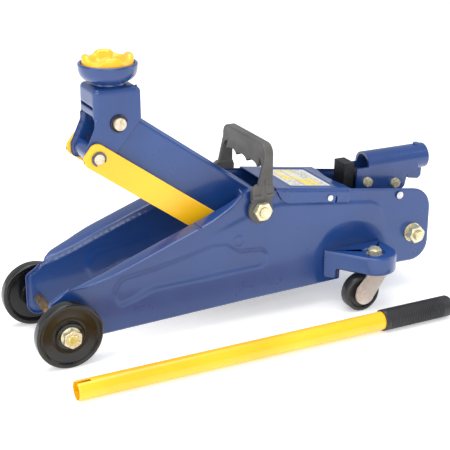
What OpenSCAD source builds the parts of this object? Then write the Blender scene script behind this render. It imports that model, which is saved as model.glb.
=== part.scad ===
// Compact hydraulic trolley jack: two pressed side plates carry a parallelogram
// lifting linkage, a short-stroke hydraulic unit with a rocking handle socket,
// two fixed front wheels and two trailing rear casters. The loose pump handle
// lies on the floor beside it.
// +X points to the rear (handle end), +Z up, left side of the jack is -Y.

/* [Wheels] */
// Radius of the front wheels
wheel_r = 33; // [30:0.5:34]
// Width of the front wheels
wheel_w = 12; // [10:0.5:13]
// Distance of the front wheel outer face from the middle plane
wheel_face = 59.3; // [58:0.1:62]
// Radius of the front axle
axle_r = 5; // [4:0.1:5.5]
// Radius of the caster wheels
caster_r = 20; // [17:0.5:20]
// Width of the caster wheels
caster_w = 14; // [11:0.5:14]

/* [Frame] */
// Half width of the frame over the side plates
plate_out = 39.3; // [39.3:0.1:40]
// Thickness of the side plates
plate_t = 3; // [2:0.1:3]
// Depth of the panel pressed into each side plate
emboss_h = 1.2; // [0.4:0.1:1.6]
// Height of the sloping top edge, measured where it would meet the front axle plane
top_z = 173; // [172:0.1:174]
// Downward slope of the top edge towards the rear
top_slope = 0.147; // [0.14:0.001:0.15]

/* [Lifting linkage] */
// Length of the lift arm between its pivots
arm_len = 173; // [165:1:176]
// Angle of the arm above the horizontal, as drawn
arm_angle = 35.7; // [30:0.1:38]
// Width of the flat side links
link_w = 25; // [22:0.5:26]
// Thickness of the flat side links
link_t = 4.5; // [3:0.1:4.5]
// Half width of the lift arm over its cheeks
arm_out = 17.2; // [15:0.1:17.2]

/* [Saddle] */
// Outer radius of the saddle cup rim
cup_r = 28.2; // [27:0.1:30]
// Radius of the crowned pad in the cup
pad_r = 24.6; // [22:0.1:24.8]

/* [Pump handle] */
// Outer radius of the handle tube
tube_r = 9.4; // [8:0.1:9.6]
// Outer radius of the grip
grip_r = 11; // [10.5:0.1:12]
// Overall length of the handle
handle_len = 411; // [380:1:430]
// Length of the grip
grip_len = 84; // [70:1:100]
// Distance of the lying handle from the middle plane
handle_y = 118; // [114:1:125]

/* [Hidden] */
$fn = 64;
// hydraulic and linkage points, X and Z in the frame plane
PA = [209, 121.5];                         // main pivot of the arm
PB = [186, 91.5];                          // rear pivot of the links
PC = PA + arm_len * [-cos(arm_angle), sin(arm_angle)];
PD = PC + PB - PA;                         // front pivot of the links
lever = 32;                                // length of the arm's lever
lever_a = 17.5;                            // lever angle ahead of straight down
PE = PA - lever * [sin(lever_a), cos(lever_a)];
PT = [399, 65];                            // rear tie
KP = [334.5, 64];                          // caster king pin, X and Y
CW = [319, caster_r];                      // caster wheel centre, X and Z
S1 = [354, 121.5];                         // socket pivot
S2 = [390, 115.5];                         // socket roller bolt
SZ = 137;                                  // socket tube axis height
socket_end = 434;
socket_o = 13.8;
socket_i = 10.6;
plate_in = plate_out - plate_t;
ram_z = 92.5;
head_in = arm_out + 0.3;
head_out = head_in + 3;
link_in = head_out + 1.5;
link_out = link_in + link_t;
cup_x = PC[0] - 1.5;
head_top = PC[1] + 34;
lobe_r = 23;
tilt = atan(top_slope);
lay = asin((grip_r - tube_r) / (handle_len - grip_len));
// the origin is the centre of the whole footprint, on the floor
org_x = (socket_end - wheel_r) / 2;
org_y = (KP[1] + lobe_r - handle_y - grip_r) / 2;

// ---------- helpers ----------
// corner of a rounded outline: points p and s lie beside corner q = [x, y, radius]
function unit(v) = v / norm(v);
function corner(p, q, s, n) =
  q[2] <= 0 ? [[q[0], q[1]]] :
  let (b = [q[0], q[1]], u = unit([p[0], p[1]] - b), v = unit([s[0], s[1]] - b),
       h = acos(u * v) / 2, o = b + unit(u + v) * (q[2] / sin(h)),
       t = b + u * (q[2] / tan(h)), w = b + v * (q[2] / tan(h)),
       a = atan2(t[1] - o[1], t[0] - o[0]), e = atan2(w[1] - o[1], w[0] - o[0]),
       d = ((e - a + 540) % 360) - 180)
  [for (i = [0:n]) o + q[2] * [cos(a + d * i / n), sin(a + d * i / n)]];
function rounded(P, n = 5) = let (m = len(P))
  [for (i = [0:m - 1]) each corner(P[(i + m - 1) % m], P[i], P[(i + 1) % m], n)];
// height of the side plate's top edge
function topz(x) = top_z - top_slope * x;
// point where a line from p touches a circle, on the side given by s
function touch(p, c, r, s) = let (d = norm(c - p), a = atan2(c[1] - p[1], c[0] - p[0]), b = asin(r / d))
  p + sqrt(d * d - r * r) * [cos(a + s * b), sin(a + s * b)];

module org() translate([-org_x, -org_y, 0]) children();
module both() { children(); mirror([0, 1, 0]) children(); }
module side(s) if (s < 0) mirror([0, 1, 0]) children(); else children();
// an X-Z outline extruded between two Y planes
module xz(y0, y1) translate([0, y1, 0]) rotate([90, 0, 0]) linear_extrude(y1 - y0) children();
module ycyl(p, r, y0, y1) translate([p[0], y1, p[1]]) rotate([90, 0, 0]) cylinder(r = r, h = y1 - y0);
module yhex(p, af, y0, y1, turn = 0) translate([p[0], y1, p[1]]) rotate([90, 0, 0]) rotate([0, 0, turn])
  cylinder(r = af / sqrt(3), h = y1 - y0, $fn = 6);
module xcyl(x0, x1, z, r, y = 0) translate([x0, y, z]) rotate([0, 90, 0]) cylinder(r = r, h = x1 - x0);
module in_arm() translate([PA[0], 0, PA[1]]) rotate([0, arm_angle, 0]) children();

// ---------- frame ----------
// upper outline of a side plate from the nose to the rear of the outward flange
TOP = [[8, 74.6, 0], [23, 79.6, 0], [40, 85, 30], [62, 93.8, 40], [100, 107.8, 0], [130, 118.6, 0],
       [160, 129.8, 0], [176, 136, 20], [190, 143, 8]];
module plate_outline() polygon(rounded(concat(
  [[-13, 17, 13], [-13, 61, 6], [5, 72.3, 2]], TOP,
  [[203, topz(203), 3], [421.5, topz(421.5), 25], [422, 30, 21], [386, 31, 3], [364, 30.5, 3],
   [361.5, 43.5, 5], [310, 43.5, 5], [309.6, 25.6, 2], [200, 22.9, 0], [10, 16.4, 0]])));
// the part of the outline within a sheet thickness of its sloping top edge
module plate_flange_line() intersection() {
  plate_outline();
  polygon(concat([for (p = TOP) [p[0], p[1] - 3.2]], [[194, 150], [194, 160], [8, 160]]));
}
module side_plate() difference() {
  union() {
    xz(plate_in, plate_out) plate_outline();
    intersection() {
      xz(plate_out - 0.5, 61) plate_flange_line();
      translate([0, 0, 60]) linear_extrude(100) polygon([[9, 38], [9, 42.5], [22, 51], [40, 55.5], [64, 59.5], [150, 59.5],
        [176, 52], [188, 44], [188, 38]]);
    }
  }
  xz(plate_out - emboss_h, plate_out + 2) polygon(rounded([[57, 45.5, 5], [68, 47, 8], [92, 56.5, 20], [214, 59.8, 8],
    [222, 68.5, 7], [214, 77.2, 7], [187, 79.5, 7], [174, 86, 7], [158, 86.5, 12], [120, 80, 20], [92, 76, 30], [60, 73, 8], [51, 60, 10]]));
  ycyl([0, wheel_r], axle_r + 0.05, 30, 50);
  ycyl(PA, 5.05, 30, 50);
  ycyl(PB, 5.35, 30, 50);
  ycyl(PT, 5.05, 30, 50);
  ycyl([290.8, 121.5], 2.05, 30, 50);
  ycyl([379.4, 110.4], 2.55, 30, 50);
}
module side_plate_left() color("royalblue") org() side(-1) side_plate();
module side_plate_right() color("royalblue") org() side(1) side_plate();
module base_plate() color("royalblue") org() difference() {
  translate([298, -plate_in, 46]) cube([110, 2 * plate_in, 4]);
  for (x = [326, 362], y = [-14, 14]) translate([x, y, 40]) cylinder(r = 3.1, h = 12);
}
module rear_tie_tube() color("royalblue") org() difference() {
  ycyl(PT, 8, -plate_in, plate_in);
  ycyl(PT, 5.1, -40, 40);
}
module rear_tie_bolt() color("gold") org() ycyl(PT, 5, -54, 54);
module rear_tie_nuts() color("gold") org() both() difference() {
  yhex(PT, 17, plate_out + 2, plate_out + 11, 12);
  ycyl(PT, 5.04, 30, 60);
}
module rear_tie_washers() color("gold") org() both() difference() {
  ycyl(PT, 10.6, plate_out, plate_out + 2);
  ycyl(PT, 5.2, 30, 60);
}

// ---------- front axle and wheels ----------
module front_axle() color("silver") org() difference() {
  ycyl([0, wheel_r], axle_r, -67.5, 67.5);
  both() difference() {
    ycyl([0, wheel_r], 7, 66.7, 68);
    translate([0, 66.7, wheel_r]) rotate([-90, 0, 0]) cylinder(r1 = axle_r, r2 = axle_r - 0.8, h = 0.8);
  }
}
module front_axle_spacers() color("silver") org() both() difference() {
  ycyl([0, wheel_r], 8, plate_out, wheel_face - wheel_w - 0.2);
  ycyl([0, wheel_r], axle_r + 0.1, 30, 60);
}
module front_wheel() translate([0, wheel_face - wheel_w, wheel_r]) rotate([-90, 0, 0]) rotate_extrude($fn = 96)
  polygon([[axle_r + 0.06, 0], [13, 0], [14, 3], [wheel_r - 6.5, 3], [wheel_r - 5, 0], [wheel_r - 2, 0],
           [wheel_r - 0.6, 0.6], [wheel_r, 2], [wheel_r, wheel_w - 3], [wheel_r - 0.8, wheel_w - 0.9],
           [wheel_r - 2.4, wheel_w], [wheel_r - 4.6, wheel_w], [wheel_r - 6.4, wheel_w - 2.6],
           [wheel_r - 8, wheel_w - 4.4], [15, wheel_w - 3.8], [12.5, wheel_w - 1.5], [axle_r + 0.06, wheel_w - 1.5]]);
module front_wheel_left() color("dimgray") org() side(-1) front_wheel();
module front_wheel_right() color("dimgray") org() side(1) front_wheel();
module front_axle_washers() color("gold") org() both() difference() {
  ycyl([0, wheel_r], 9.8, wheel_face - 1.3, wheel_face + 0.5);
  ycyl([0, wheel_r], axle_r + 0.15, 50, 70);
}
module front_axle_nuts() color("gold") org() both() difference() {
  yhex([0, wheel_r], 16.5, wheel_face + 0.5, wheel_face + 7, 24);
  ycyl([0, wheel_r], axle_r + 0.05, 50, 70);
}

// ---------- lift arm ----------
EL = [-lever * sin(lever_a) * cos(arm_angle) + lever * cos(lever_a) * sin(arm_angle),
      -lever * sin(lever_a) * sin(arm_angle) - lever * cos(lever_a) * cos(arm_angle)];
module arm_cheek_outline() {
  translate([-arm_len, 0]) circle(r = 15);
  circle(r = 19);
  translate(EL) circle(r = 11);
  polygon([[-arm_len, 15], [-2, 15], [14, 11], [20.6, -27], [EL[0], EL[1]], [1, -37], [-22, -30],
           [-arm_len + 23, -30], [-arm_len, -15]]);
}
module lift_arm() color("royalblue") org() in_arm() difference() {
  union() {
    both() xz(arm_out - 4, arm_out) arm_cheek_outline();
    xz(-arm_out, arm_out) polygon([[-arm_len + 4, 11], [-arm_len + 4, 14.4], [-arm_len + 6, 15], [-2, 15], [-2, 11]]);
    xz(-arm_out, arm_out) polygon([[-140, -30], [-140, -26.5], [-60, -26.5], [-60, -30]]);
    ycyl([0, 0], 16, -plate_in + 0.4, plate_in - 0.4);
  }
  ycyl([0, 0], 10.06, -40, 40);
  ycyl([-arm_len, 0], 6.08, -40, 40);
  ycyl(EL, 5.03, -40, 40);
}
module lift_arm_shaft() color("silver") org() {
  ycyl(PA, 10, -plate_in + 0.05, plate_in - 0.05);
  ycyl(PA, 5, -52, 52);
}
module lift_arm_shaft_nuts() color("gold") org() both() difference() {
  yhex(PA, 17, 44.7, 50.6, 0);
  ycyl(PA, 5.04, 40, 60);
}
module lever_pin() color("silver") org() ycyl(PE, 5, -arm_out + 0.1, arm_out - 0.1);
module lever_roller() color("silver") org() difference() {
  ycyl(PE, 9, -12.6, 12.6);
  ycyl(PE, 5.07, -20, 20);
}

// ---------- links ----------
module link() difference() {
  translate([PB[0], 0, PB[1]]) rotate([0, arm_angle, 0]) difference() {
    xz(link_in, link_out) union() {
      circle(r = link_w / 2);
      translate([-arm_len, 0]) circle(r = link_w / 2);
      translate([-arm_len, -link_w / 2]) square([arm_len, link_w]);
    }
    ycyl([0, 0], 5.36, 10, 40);
    ycyl([-arm_len, 0], 5.25, 10, 40);
  }
}
module link_left() color("gold") org() side(-1) link();
module link_right() color("gold") org() side(1) link();
module link_rear_pins() color("silver") org() both() {
  ycyl(PB, 5.3, link_in - 0.3, plate_out);
  ycyl(PB, 8, link_in - 2.4, link_in - 0.3);
}
module link_front_pin() color("silver") org() difference() {
  ycyl(PD, 5, -link_out - 2.4, link_out + 2.4);
  both() difference() {
    ycyl(PD, 7, link_out + 0.4, link_out + 1.6);
    ycyl(PD, 4.1, link_out, link_out + 3);
  }
}
// spring clip with an open mouth, seated in a groove
module eclip(p, y, ri, ro, t, turn) translate([p[0], y + t, p[1]]) rotate([90, 0, 0]) rotate([0, 0, turn])
  linear_extrude(t) difference() {
    circle(r = ro);
    circle(r = ri);
    translate([-ri, -ro - 1]) square([2 * ri, ro + 1]);
  }
module link_front_clips() color("gray") org() both() eclip(PD, link_out + 0.5, 4.15, 7.2, 1, 20);

// ---------- head and saddle ----------
module head_cheek() {
  polygon(rounded([[PC[0] - 23.5, head_top, 5], [PC[0] + 22.5, head_top, 5], [PC[0] + 23, PC[1] + 1.5, 3],
    [PD[0] + 20, PD[1] + 0.5, 6], [PD[0] + 9, PD[1] - 8.5, 3], [PD[0], PD[1] - 6, 0], [PD[0] - 10.2, PD[1] - 1, 0],
    [PD[0] - 10.2, PD[1] + 5, 3], [PC[0] - 23.5, PC[1] - 1, 8]]));
  translate(PD) circle(r = 11);
}
module head_bracket() color("royalblue") org() difference() {
  union() {
    both() xz(head_in, head_out) head_cheek();
    xz(-head_in, head_in) polygon(rounded([[PC[0] - 23.5, head_top - 24, 0], [PC[0] - 23.5, head_top, 5], [PC[0] + 17, head_top, 0],
      [PC[0] + 17, head_top - 3, 0], [PC[0] - 20.5, head_top - 3, 2], [PC[0] - 20.5, head_top - 24, 0]]));
    ycyl(PD, 8.5, -head_in, head_in);
  }
  ycyl(PC, 6.02, -30, 30);
  ycyl(PD, 5.04, -30, 30);
  translate([cup_x, 0, head_top - 6]) cylinder(r = 8.1, h = 12);
}
module head_pin() color("beige") org() difference() {
  ycyl(PC, 6, -head_out - 4.8, head_out + 4.8);
  both() difference() {
    ycyl(PC, 8, head_out + 0.2, head_out + 1.5);
    ycyl(PC, 5, head_out, head_out + 3);
  }
}
module head_pin_clips() color("dimgray") org() both() eclip(PC, head_out + 0.3, 5.05, 8.6, 1.1, 60);
module saddle_cup() color("royalblue") org() translate([cup_x, 0, head_top]) rotate_extrude($fn = 96)
  polygon([[8.15, 0], [17, 0], [16.2, 2], [20, 4], [24.6, 6.6], [27, 10], [cup_r, 15.5], [cup_r, 19.6], [cup_r - 0.8, 20.3],
           [cup_r - 2.2, 20.3], [cup_r - 2.9, 19.5], [cup_r - 3, 15], [cup_r - 4.4, 10.6], [20, 7.8], [8.15, 7.6]]);
module saddle_pad() color("gold") org() translate([cup_x, 0, head_top]) difference() {
  union() {
    translate([0, 0, 10.9]) cylinder(r1 = pad_r - 2.2, r2 = pad_r, h = 5.1, $fn = 96);
    translate([0, 0, 16]) cylinder(r1 = pad_r, r2 = pad_r - 1, h = 12.4, $fn = 96);
    translate([0, 0, 7.9]) cylinder(r = 18, h = 3.1);
    translate([0, 0, -7]) cylinder(r = 8, h = 16);
    translate([0, 0, -7]) cylinder(r = 10.5, h = 3.6);
  }
  translate([0, 0, 18.4]) cylinder(r1 = 13, r2 = 17, h = 12);
  for (a = [0:3]) rotate([0, 0, 35 + 90 * a]) translate([0, 0, 32.8]) rotate([0, 90, 0]) cylinder(r = 10.5, h = 40);
}

// ---------- top cover ----------
cover_t = 1.2;
module in_cover() translate([0, 0, top_z + cover_t / cos(tilt)]) rotate([0, tilt, 0]) children();
module top_cover() color("royalblue") org() in_cover() difference() {
  union() {
    translate([230.4, -plate_out - 1.6, -cover_t]) cube([90, 2 * plate_out + 3.2, cover_t]);
    both() xz(plate_out + 0.2, plate_out + 1.6) polygon(rounded([[233, -1, 0], [320.4, -1, 0], [320.4, -16, 1.5],
      [305, -16, 1], [304.6, -8, 0], [303.4, -8, 0], [303, -16, 1], [247, -16, 12]]));
  }
  translate([253, -30, -0.5]) cube([50.5, 60, 2]);
  translate([392, 0, -5]) cylinder(r = 76, h = 10, $fn = 128);
  translate([0, 0, 0]) both() rotate([0, -tilt, 0]) translate([0, 0, -top_z - cover_t / cos(tilt)]) ycyl([290.8, 121.5], 2.1, 30, 50);
}
module cover_label() color("lightyellow") org() in_cover() translate([253.5, -29.5, -0.5]) cube([49.5, 59, 0.4]);
module cover_screws() color("silver") org() both() {
  ycyl([290.8, 121.5], 2, plate_in - 2, plate_out + 1.7);
  ycyl([290.8, 121.5], 3.2, plate_out + 1.65, plate_out + 3.4);
}
module filler_plug() color("silver") org() both() {
  ycyl([379.4, 110.4], 2.5, plate_in - 1.5, plate_out + 0.1);
  ycyl([379.4, 110.4], 4, plate_out, plate_out + 1.2);
}

// ---------- casters ----------
brk_f = [287.5, plate_out];
brk_r = [358, plate_out];
module lobe(r, f, g) {
  translate(KP) circle(r = r);
  polygon([f, touch(f, KP, r, 1), KP, touch(g, KP, r, -1), g]);
}
module caster_bracket() difference() {
  union() {
    translate([0, 0, 60]) linear_extrude(3) lobe(lobe_r, brk_f, brk_r);
    translate([0, 0, 44]) linear_extrude(17) difference() {
      lobe(lobe_r, brk_f, brk_r);
      lobe(lobe_r - 3, brk_f + [4.2, -0.2], brk_r + [-3.4, -0.2]);
    }
    translate([0, 0, 33]) linear_extrude(12) intersection() {
      difference() {
        lobe(lobe_r, brk_f, brk_r);
        lobe(lobe_r - 3, brk_f + [4.2, -0.2], brk_r + [-3.4, -0.2]);
      }
      translate([280, 30]) square([16, 40]);
    }
    translate([KP[0], KP[1], 55]) cylinder(r = 13, h = 5.5);
  }
  translate([KP[0], KP[1], 58]) cylinder(r = 10.5, h = 10);
  translate([KP[0], KP[1], 40]) cylinder(r = 5.05, h = 30);
}
module caster_bracket_left() color("royalblue") org() side(-1) caster_bracket();
module caster_bracket_right() color("royalblue") org() side(1) caster_bracket();
module caster_kingpins() color("silver") org() both() translate([KP[0], KP[1], 0]) {
  translate([0, 0, 46.6]) cylinder(r = 5, h = 20.4);
  translate([0, 0, 44.6]) cylinder(r = 8, h = 2.1);
}
module caster_kingpin_nuts() color("gold") org() both() translate([KP[0], KP[1], 0]) difference() {
  union() {
    translate([0, 0, 58]) cylinder(r = 9, h = 1.4);
    translate([0, 0, 59.3]) rotate([0, 0, 12]) cylinder(r = 13 / sqrt(3), h = 6.2, $fn = 6);
  }
  translate([0, 0, 50]) cylinder(r = 5.05, h = 20);
}
module fork_leg() polygon(rounded([[CW[0] - 10.6, CW[1] + 3, 0], [CW[0] - 9.5, CW[1] + 8, 4], [CW[0] + 2, 41, 8], [CW[0] + 2, 49.9, 0],
  [347, 49.9, 0], [347, 42, 10], [CW[0] + 9.6, CW[1] - 5, 0], [CW[0], CW[1] - 2, 0]]));
module caster_fork() difference() {
  union() {
    translate([KP[0], KP[1], 47.4]) cylinder(r = 15.5, h = 2.6);
    translate([KP[0], KP[1], 49.9]) cylinder(r = 12, h = 4.8);
    for (s = [-1, 1]) translate([0, KP[1] + s * (caster_w / 2 + 2.4), 0]) xz(-1.2, 1.2) difference() {
      union() {
        fork_leg();
        translate(CW) circle(r = 11);
      }
      translate(CW) circle(r = 4.03);
    }
    translate([328, KP[1] - caster_w / 2 - 1.5, 47.4]) cube([16, caster_w + 3, 2.6]);
  }
  translate([KP[0], KP[1], 40]) cylinder(r = 5.07, h = 20);
}
module caster_fork_left() color("tan") org() side(-1) caster_fork();
module caster_fork_right() color("tan") org() side(1) caster_fork();
module caster_wheel() translate([CW[0], KP[1] - caster_w / 2, CW[1]]) rotate([-90, 0, 0]) rotate_extrude($fn = 96)
  polygon([[4.06, 0], [7, 0], [8, 2.2], [caster_r - 5, 2.2], [caster_r - 3.5, 0], [caster_r - 1.5, 0], [caster_r, 1.5],
           [caster_r, caster_w - 1.5], [caster_r - 1.5, caster_w], [caster_r - 3.5, caster_w], [caster_r - 5, caster_w - 2.2],
           [8, caster_w - 2.2], [7, caster_w], [4.06, caster_w]]);
module caster_wheel_left() color("dimgray") org() side(-1) caster_wheel();
module caster_wheel_right() color("dimgray") org() side(1) caster_wheel();
module caster_axle() {
  ycyl(CW, 4, KP[1] - caster_w / 2 - 3.7, KP[1] + caster_w / 2 + 3.7);
  for (s = [-1, 1]) translate([0, KP[1] + s * (caster_w / 2 + 4.35), 0]) ycyl(CW, 5.4, -0.75, 0.75);
}
module caster_axle_left() color("silver") org() side(-1) caster_axle();
module caster_axle_right() color("silver") org() side(1) caster_axle();

// ---------- hydraulic unit ----------
module pump_block() color("dimgray") org() difference() {
  union() {
    translate([314, -20, 50]) cube([58, 40, 56]);
    translate([383, 0, 50]) cylinder(r = 7.6, h = 42);
    translate([370, -6, 50]) cube([13, 12, 40]);
    translate([327, -10.3, 105]) cube([12, 20.6, 39]);
    xz(-10.3, 10.3) union() {
      translate(S1) circle(r = 10.5);
      translate([S1[0] - 10.5, 105]) square([21, S1[1] - 105]);
    }
    xcyl(371, 385, 58, 6, 0);
  }
  xcyl(313, 331, ram_z, 12.05);
  translate([383, 0, 54]) cylinder(r = 5.06, h = 50);
  ycyl(S1, 3.06, -40, 40);
  both() ycyl(S1, 26, 10.6, 25);
  xcyl(378, 400, 58, 3.55, 13);
}
module hydraulic_cylinder() color("dimgray") org() difference() {
  xcyl(252, 314, ram_z, 22);
  xcyl(250, 320, ram_z, 12.05);
}
module gland_nut() color("silver") org() difference() {
  translate([246.6, 0, ram_z]) rotate([0, 90, 0]) cylinder(r = 17, h = 5.4, $fn = 6);
  xcyl(240, 260, ram_z, 9.06);
}
ram_face = PE[0] + 9 + 1.3;
module ram() color("silver") org() {
  xcyl(ram_face + 6, 300, ram_z, 9);
  xcyl(292, 300, ram_z, 11.96);
}
module ram_head() color("silver") org() difference() {
  xcyl(ram_face, ram_face + 8, ram_z, 12);
  xcyl(ram_face + 6, ram_face + 10, ram_z, 9.02);
}
module pump_plunger() color("silver") org() translate([383, 0, 0]) {
  translate([0, 0, 60]) cylinder(r = 5, h = 45);
  translate([0, 0, 104.6]) cylinder(r = 9, h = 3);
}
module release_valve() color("silver") org() translate([0, 16, 0]) {
  xcyl(372.2, 384, 72, 4);
  xcyl(383.9, 389, 72, 6.5);
  translate([385, -8, 70.5]) cube([2.6, 16, 3]);
}

// ---------- handle socket ----------
module socket_cheek() polygon(rounded([[341, 108, 4], [341, 137, 3], [355, 143.4, 6], [366, 146, 0], [425, 140, 0],
  [425, 126, 0], [414, 125.6, 6], [406, 121.5, 6], [403, 107, 5]]));
module handle_socket() color("royalblue") org() difference() {
  union() {
    intersection() {
      xcyl(356, socket_end, SZ, socket_o);
      union() {
        translate([350, -20, SZ - 0.1]) cube([62, 40, 30]);
        translate([411, -20, SZ - 20]) cube([40, 40, 40]);
      }
    }
    both() xz(socket_i + 0.5, socket_o) intersection() {
      socket_cheek();
      translate([330, 100]) square([90, SZ - 100]);
    }
    xz(-1.5, 1.5) polygon(rounded([[416, SZ - 12, 0], [416, 113, 2], [430, 110.5, 3], [433.5, 114, 3], [433.8, SZ - 12, 0]]));
    translate([425, 0, SZ + socket_o - 0.6]) cylinder(r = 3.2, h = 2.2);
  }
  xcyl(400, 440, SZ, socket_i);
  xcyl(350, 411, SZ, socket_i + 0.2);
  ycyl(S1, 3.04, -40, 40);
  ycyl(S2, 3.04, -40, 40);
}
module socket_bolts() color("gold") org() for (p = [S1, S2]) {
  ycyl(p, 3, -socket_o - 1.5, socket_o + 4.6);
  yhex(p, 9, -socket_o - 4.6, -socket_o - 1.4, 10);
  ycyl(p, 5.2, -socket_o - 1.5, -socket_o);
}
module socket_nuts() color("gold") org() for (p = [S1, S2]) difference() {
  yhex(p, 9, socket_o, socket_o + 4, 10);
  ycyl(p, 3.03, 10, 30);
}
module plunger_roller() color("silver") org() difference() {
  ycyl(S2, 7, -9.8, 9.8);
  ycyl(S2, 3.08, -20, 20);
}

// ---------- carrying handle ----------
HG = 171.5;          // underside of the grip bar
HT = 189.5;          // top of the grip bar
module carry_leg_outline() polygon([[PA[0] - 8, PA[1] + 10.4], [PA[0] - 11.5, PA[1] + 11.4], [PA[0] - 11.5, PA[1] + 23.5],
  [PA[0] - 6.5, PA[1] + 26], [PA[0] - 4.5, HG - 7.9], [PA[0] + 11.5, HG - 7.9], [PA[0] + 11, PA[1] + 26],
  [PA[0] + 12.5, PA[1] + 22.5], [PA[0] + 12.5, PA[1] + 11.4], [PA[0] + 8, PA[1] + 10.4]]);
module carry_handle() color("dimgray") org() difference() {
  union() {
    both() xz(41.6, 46.6) carry_leg_outline();
    both() ycyl(PA, 13.6, plate_out + 0.3, 44.5);
    translate([PA[0] - 4.5, 0, 0]) rotate([90, 0, 90]) linear_extrude(16) difference() {
      polygon(rounded([[-46.6, HG - 8, 0], [-46.6, HT, 9], [46.6, HT, 9], [46.6, HG - 8, 0], [41.6, HG - 8, 0],
        [38, HG, 6], [-38, HG, 6], [-41.6, HG - 8, 0]]));
      for (y = [-25, 0, 25]) translate([y, HG - 12]) circle(r = 16);
    }
  }
  ycyl(PA, 5.08, -60, 60);
}

// ---------- loose pump handle ----------
handle_x0 = -17;
module in_handle() translate([handle_x0, -handle_y, tube_r]) rotate([0, -lay, 0]) children();
module pump_handle_tube() color("gold") org() in_handle() difference() {
  xcyl(0, handle_len - 3, 0, tube_r);
  xcyl(-1, handle_len - 1, 0, tube_r - 1.6);
  translate([-1, -2, 0]) cube([14, 4, 20]);
  translate([36, -20, 0]) rotate([-90, 0, 0]) cylinder(r = 2.4, h = 12);
}
module pump_handle_grip() color("black") org() in_handle() difference() {
  xcyl(handle_len - grip_len, handle_len, 0, grip_r);
  xcyl(handle_len - grip_len - 1, handle_len - 2.9, 0, tube_r);
}

side_plate_left();
side_plate_right();
base_plate();
rear_tie_tube();
rear_tie_bolt();
rear_tie_nuts();
rear_tie_washers();
front_axle();
front_axle_spacers();
front_wheel_left();
front_wheel_right();
front_axle_washers();
front_axle_nuts();
lift_arm();
lift_arm_shaft();
lift_arm_shaft_nuts();
lever_roller();
lever_pin();
link_left();
link_right();
link_rear_pins();
link_front_pin();
link_front_clips();
head_bracket();
head_pin();
head_pin_clips();
saddle_cup();
saddle_pad();
top_cover();
cover_label();
cover_screws();
caster_bracket_left();
caster_bracket_right();
caster_kingpins();
caster_kingpin_nuts();
caster_fork_left();
caster_fork_right();
caster_wheel_left();
caster_wheel_right();
caster_axle_left();
caster_axle_right();
pump_block();
hydraulic_cylinder();
gland_nut();
ram();
ram_head();
pump_plunger();
release_valve();
filler_plug();
handle_socket();
socket_bolts();
socket_nuts();
plunger_roller();
carry_handle();
pump_handle_tube();
pump_handle_grip();
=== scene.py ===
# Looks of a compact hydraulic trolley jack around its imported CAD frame.
import math
import bpy
import bmesh
import numpy as np
from mathutils import Matrix, Vector
from mathutils.geometry import delaunay_2d_cdt


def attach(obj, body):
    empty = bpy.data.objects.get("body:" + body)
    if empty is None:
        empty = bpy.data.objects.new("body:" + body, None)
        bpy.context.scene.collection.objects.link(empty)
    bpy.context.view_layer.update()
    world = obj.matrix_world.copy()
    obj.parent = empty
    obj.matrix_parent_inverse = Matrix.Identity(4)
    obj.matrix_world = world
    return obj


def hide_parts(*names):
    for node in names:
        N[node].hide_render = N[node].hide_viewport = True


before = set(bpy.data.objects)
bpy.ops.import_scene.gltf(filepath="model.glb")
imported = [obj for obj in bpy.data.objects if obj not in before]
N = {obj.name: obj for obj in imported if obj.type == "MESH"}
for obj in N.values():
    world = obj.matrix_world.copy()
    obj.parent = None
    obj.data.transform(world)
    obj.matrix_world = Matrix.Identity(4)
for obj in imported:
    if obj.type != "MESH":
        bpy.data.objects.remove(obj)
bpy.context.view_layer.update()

# ------------------------------------------------------------------ dimensions (mm, jack-local: x rearwards, y across, z up)
OX, OY = 200.5, -21.0
ARM, ARM_A = 173.0, math.radians(35.7)
PA = np.array([209.0, 121.5])
PB = np.array([186.0, 91.5])
PC = PA + ARM * np.array([-math.cos(ARM_A), math.sin(ARM_A)])
PD = PC + PB - PA
TOP_Z, SLOPE = 173.0, 0.147
TILT = math.atan(SLOPE)
HEAD_TOP = PC[1] + 34
CUP_X = PC[0] - 1.5
KP = (334.5, 64.0)
CW = (319.0, 20.0)
S1, S2, SZ = (354.0, 121.5), (390.0, 115.5), 137.0
PT = (399.0, 65.0)
PLATE = 39.3


def topz(x):
    return TOP_Z - SLOPE * x


def corner(p, q, s, n):
    if q[2] <= 0:
        return [(q[0], q[1])]
    b = np.array(q[:2], float)
    u = np.array(p[:2], float) - b
    v = np.array(s[:2], float) - b
    u /= np.linalg.norm(u)
    v /= np.linalg.norm(v)
    h = math.acos(max(-1, min(1, float(u @ v)))) / 2
    w = u + v
    w /= np.linalg.norm(w)
    o = b + w * (q[2] / math.sin(h))
    t = b + u * (q[2] / math.tan(h))
    e = b + v * (q[2] / math.tan(h))
    a0 = math.atan2(t[1] - o[1], t[0] - o[0])
    a1 = math.atan2(e[1] - o[1], e[0] - o[0])
    d = (a1 - a0 + 3 * math.pi) % (2 * math.pi) - math.pi
    return [(o[0] + q[2] * math.cos(a0 + d * i / n), o[1] + q[2] * math.sin(a0 + d * i / n)) for i in range(n + 1)]


def rounded(P, n=6):
    m = len(P)
    return [c for i in range(m) for c in corner(P[i - 1], P[i], P[(i + 1) % m], n)]


def circle(c, r, n=48, a0=0.0):
    return [(c[0] + r * math.cos(a0 + 2 * math.pi * i / n), c[1] + r * math.sin(a0 + 2 * math.pi * i / n)) for i in range(n)]


def area2(P):
    P = np.array(P, float)
    x, y = P[:, 0], P[:, 1]
    return 0.5 * float(np.sum(x * np.roll(y, -1) - y * np.roll(x, -1)))


def ccw(P):
    return list(P) if area2(P) > 0 else list(P)[::-1]


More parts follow.
